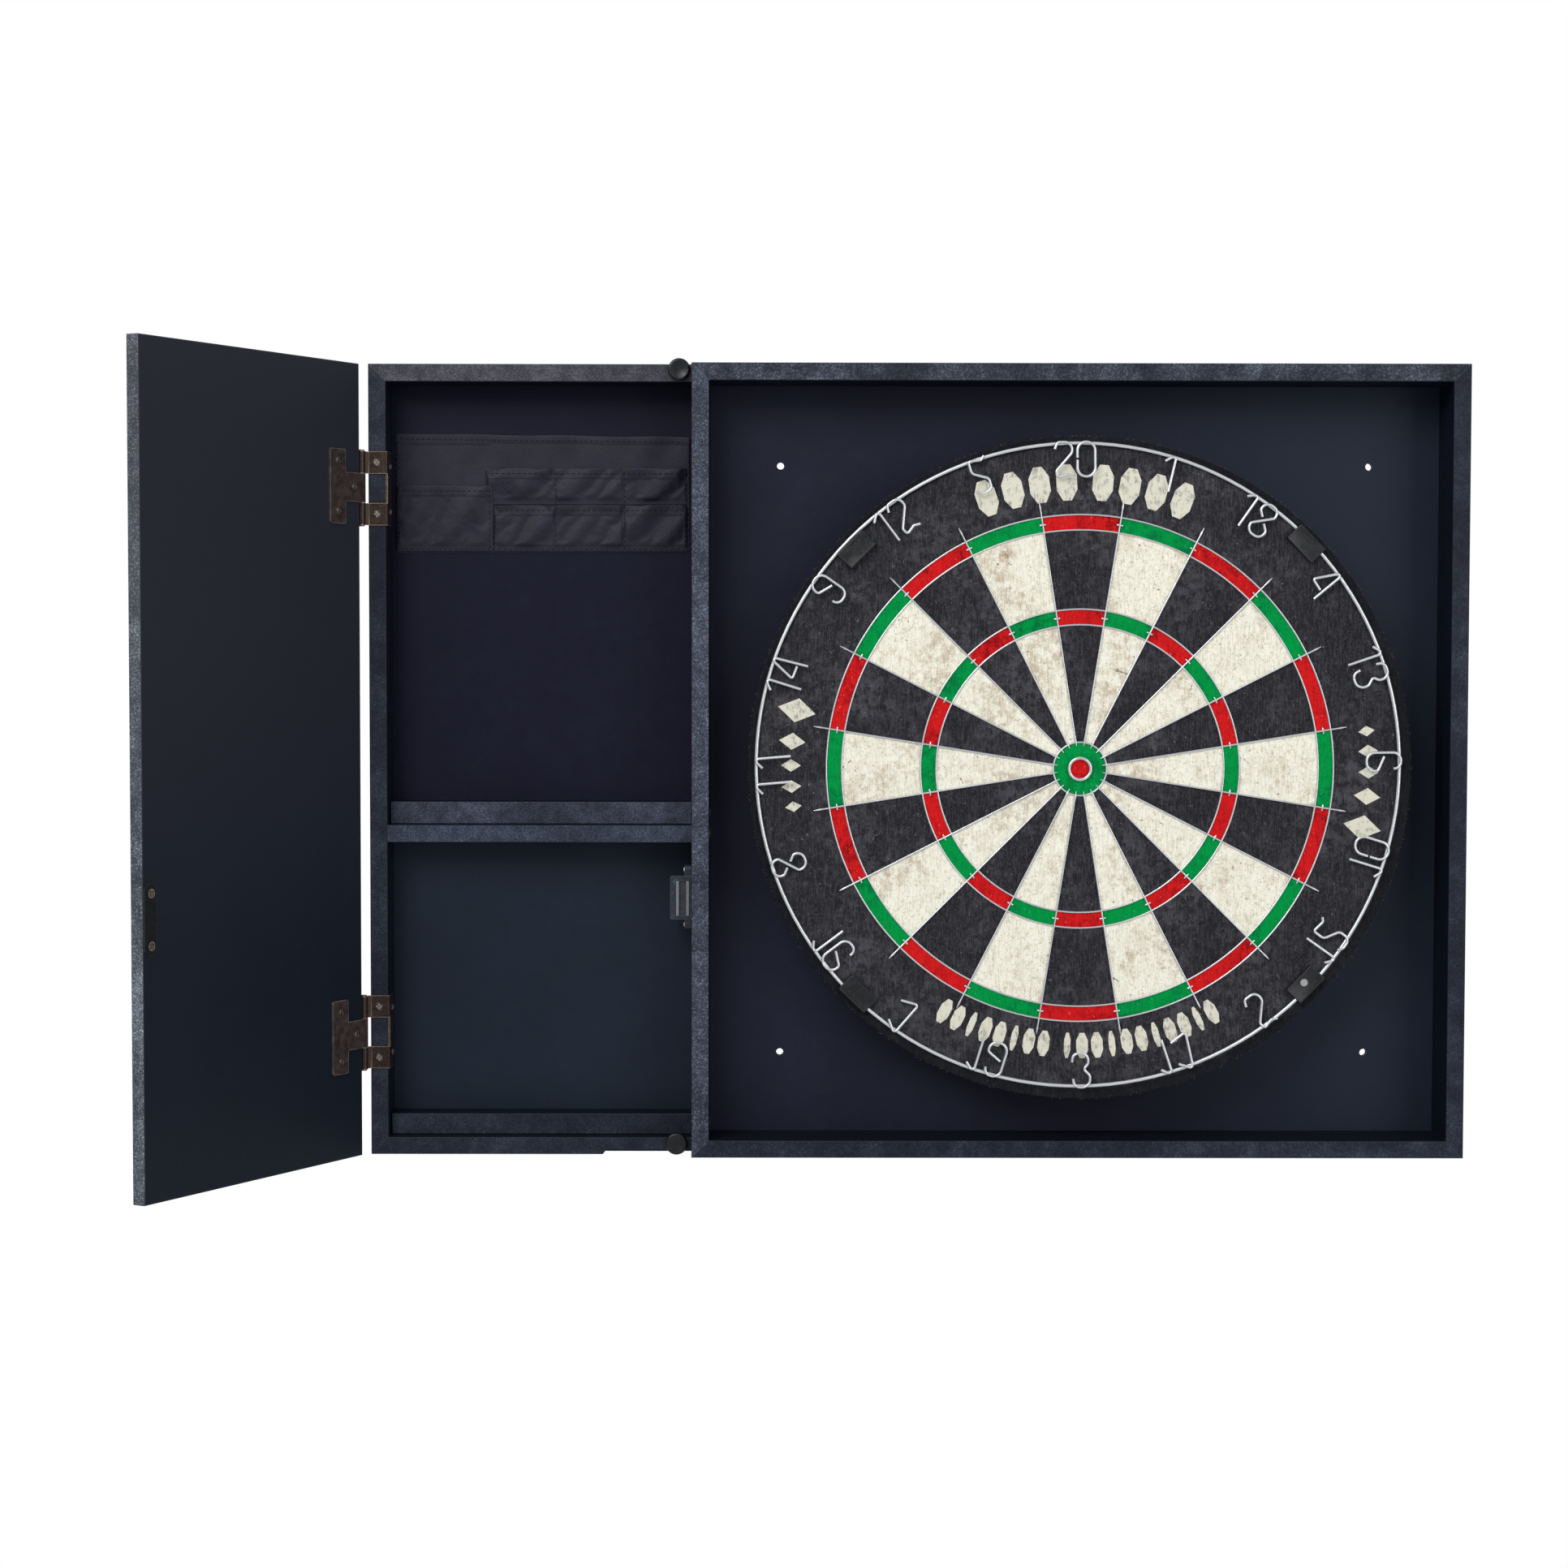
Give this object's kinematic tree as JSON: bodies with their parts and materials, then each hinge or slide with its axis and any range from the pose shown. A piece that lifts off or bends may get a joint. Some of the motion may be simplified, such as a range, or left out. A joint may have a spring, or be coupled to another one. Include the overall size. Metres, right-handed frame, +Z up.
{
  "type": "dart board cabinet",
  "caption": "Wall-hung dartboard surround with a hinged-door storage box at its left; the bristle board hangs on a bracket and clips hold its wire number ring.",
  "frame": {"origin": "on the wall plane, in the middle of the four wall holes of the dartboard surround", "axes": "+Y into the wall, +X to the right seen from the room, +Z up; the room lies towards -Y"},
  "size_m": [0.8686, 0.2344, 0.5439],
  "materials": {
    "painted_wood": "satin blue-black paint on fibreboard",
    "painted_panel": "matt blue-black paint on thin board",
    "painted_door": "satin blue-black paint, worn edges",
    "organizer_cloth": "black woven cloth",
    "black_plastic": "moulded",
    "magnet": "matt ferrite",
    "steel_plate": "bare",
    "antique_brass": "aged and lacquered",
    "bronze_screws": "aged",
    "zinc_screws": "zinc plated",
    "strike_metal": "black",
    "bumper_rubber": "smooth",
    "black_sisal": "cut sisal fibre ends, dyed",
    "natural_sisal": "cut sisal fibre ends",
    "red_sisal": "cut sisal fibre ends, dyed",
    "green_sisal": "cut sisal fibre ends, dyed",
    "band": "dark band round the board",
    "fibreboard": "plain pressed board",
    "spider_wire": "bright wire",
    "number_wire": "bright wire",
    "clip_plastic": "moulded",
    "bare_pin": "bare",
    "bracket_steel": "zinc plated",
    "felt_pads": "pressed felt"
  },
  "bodies": {
    "cabinet": {"surround_top_rail": "painted_wood", "surround_bottom_rail": "painted_wood", "surround_left_stile": "painted_wood", "surround_right_stile": "painted_wood", "surround_back_panel": "painted_panel", "storage_top_rail": "painted_wood", "storage_bottom_rail": "painted_wood", "storage_left_stile": "painted_wood", "storage_back_panel": "painted_panel", "storage_shelf": "painted_wood", "shelf_ledge": "painted_wood", "floor_ledge": "painted_wood", "organizer_backing": "organizer_cloth", "organizer_large_pocket": "organizer_cloth", "organizer_upper_pockets": "organizer_cloth", "organizer_lower_pockets": "organizer_cloth", "catch_housing": "black_plastic", "catch_magnet": "magnet", "catch_pole_plates": "steel_plate", "catch_screws": "zinc_screws", "door_bumpers": "bumper_rubber", "upper_frame_leaf": "antique_brass", "lower_frame_leaf": "antique_brass", "frame_leaf_screws": "bronze_screws", "hinge_pins": "antique_brass", "hanging_bracket": "bracket_steel", "bracket_screws": "zinc_screws", "joining_screws": "zinc_screws"},
    "door": {"door_panel": "painted_door", "upper_door_leaf": "antique_brass", "lower_door_leaf": "antique_brass", "door_leaf_screws": "bronze_screws", "strike_plate": "strike_metal", "strike_screws": "bronze_screws"},
    "dartboard": {"board_backing": "fibreboard", "sisal_core": "natural_sisal", "rim_band": "band", "outer_field": "black_sisal", "black_beds": "black_sisal", "cream_beds": "natural_sisal", "red_beds": "red_sisal", "green_beds": "green_sisal", "outer_bull": "green_sisal", "inner_bull": "red_sisal", "spider_rings": "spider_wire", "spider_radials": "spider_wire", "spider_ties": "spider_wire", "bull_ring": "spider_wire", "ring_clips": "clip_plastic", "clip_pins": "clip_plastic", "bare_clip_pin": "bare_pin", "hanger_screw": "zinc_screws", "rear_pads": "felt_pads"},
    "number_ring": {"number_hoop": "number_wire", "numerals": "number_wire"}
  },
  "joints": [
    {"name": "door_swing", "type": "hinge", "parent": "cabinet", "child": "door", "pos_m": [-0.4875, -0.0417, 0], "axis": [0, 0, -1], "range_deg": [-120, 60]},
    {"name": "board_turn", "type": "hinge", "parent": "cabinet", "child": "dartboard", "pos_m": [0, -0.03, -0.004], "axis": [0, 1, 0], "continuous": true},
    {"name": "number_ring_turn", "type": "hinge", "parent": "dartboard", "child": "number_ring", "pos_m": [-0.0015, -0.0527, -0.002], "axis": [0, 1, 0], "range_deg": [-2.1, 1.7]}
  ]
}
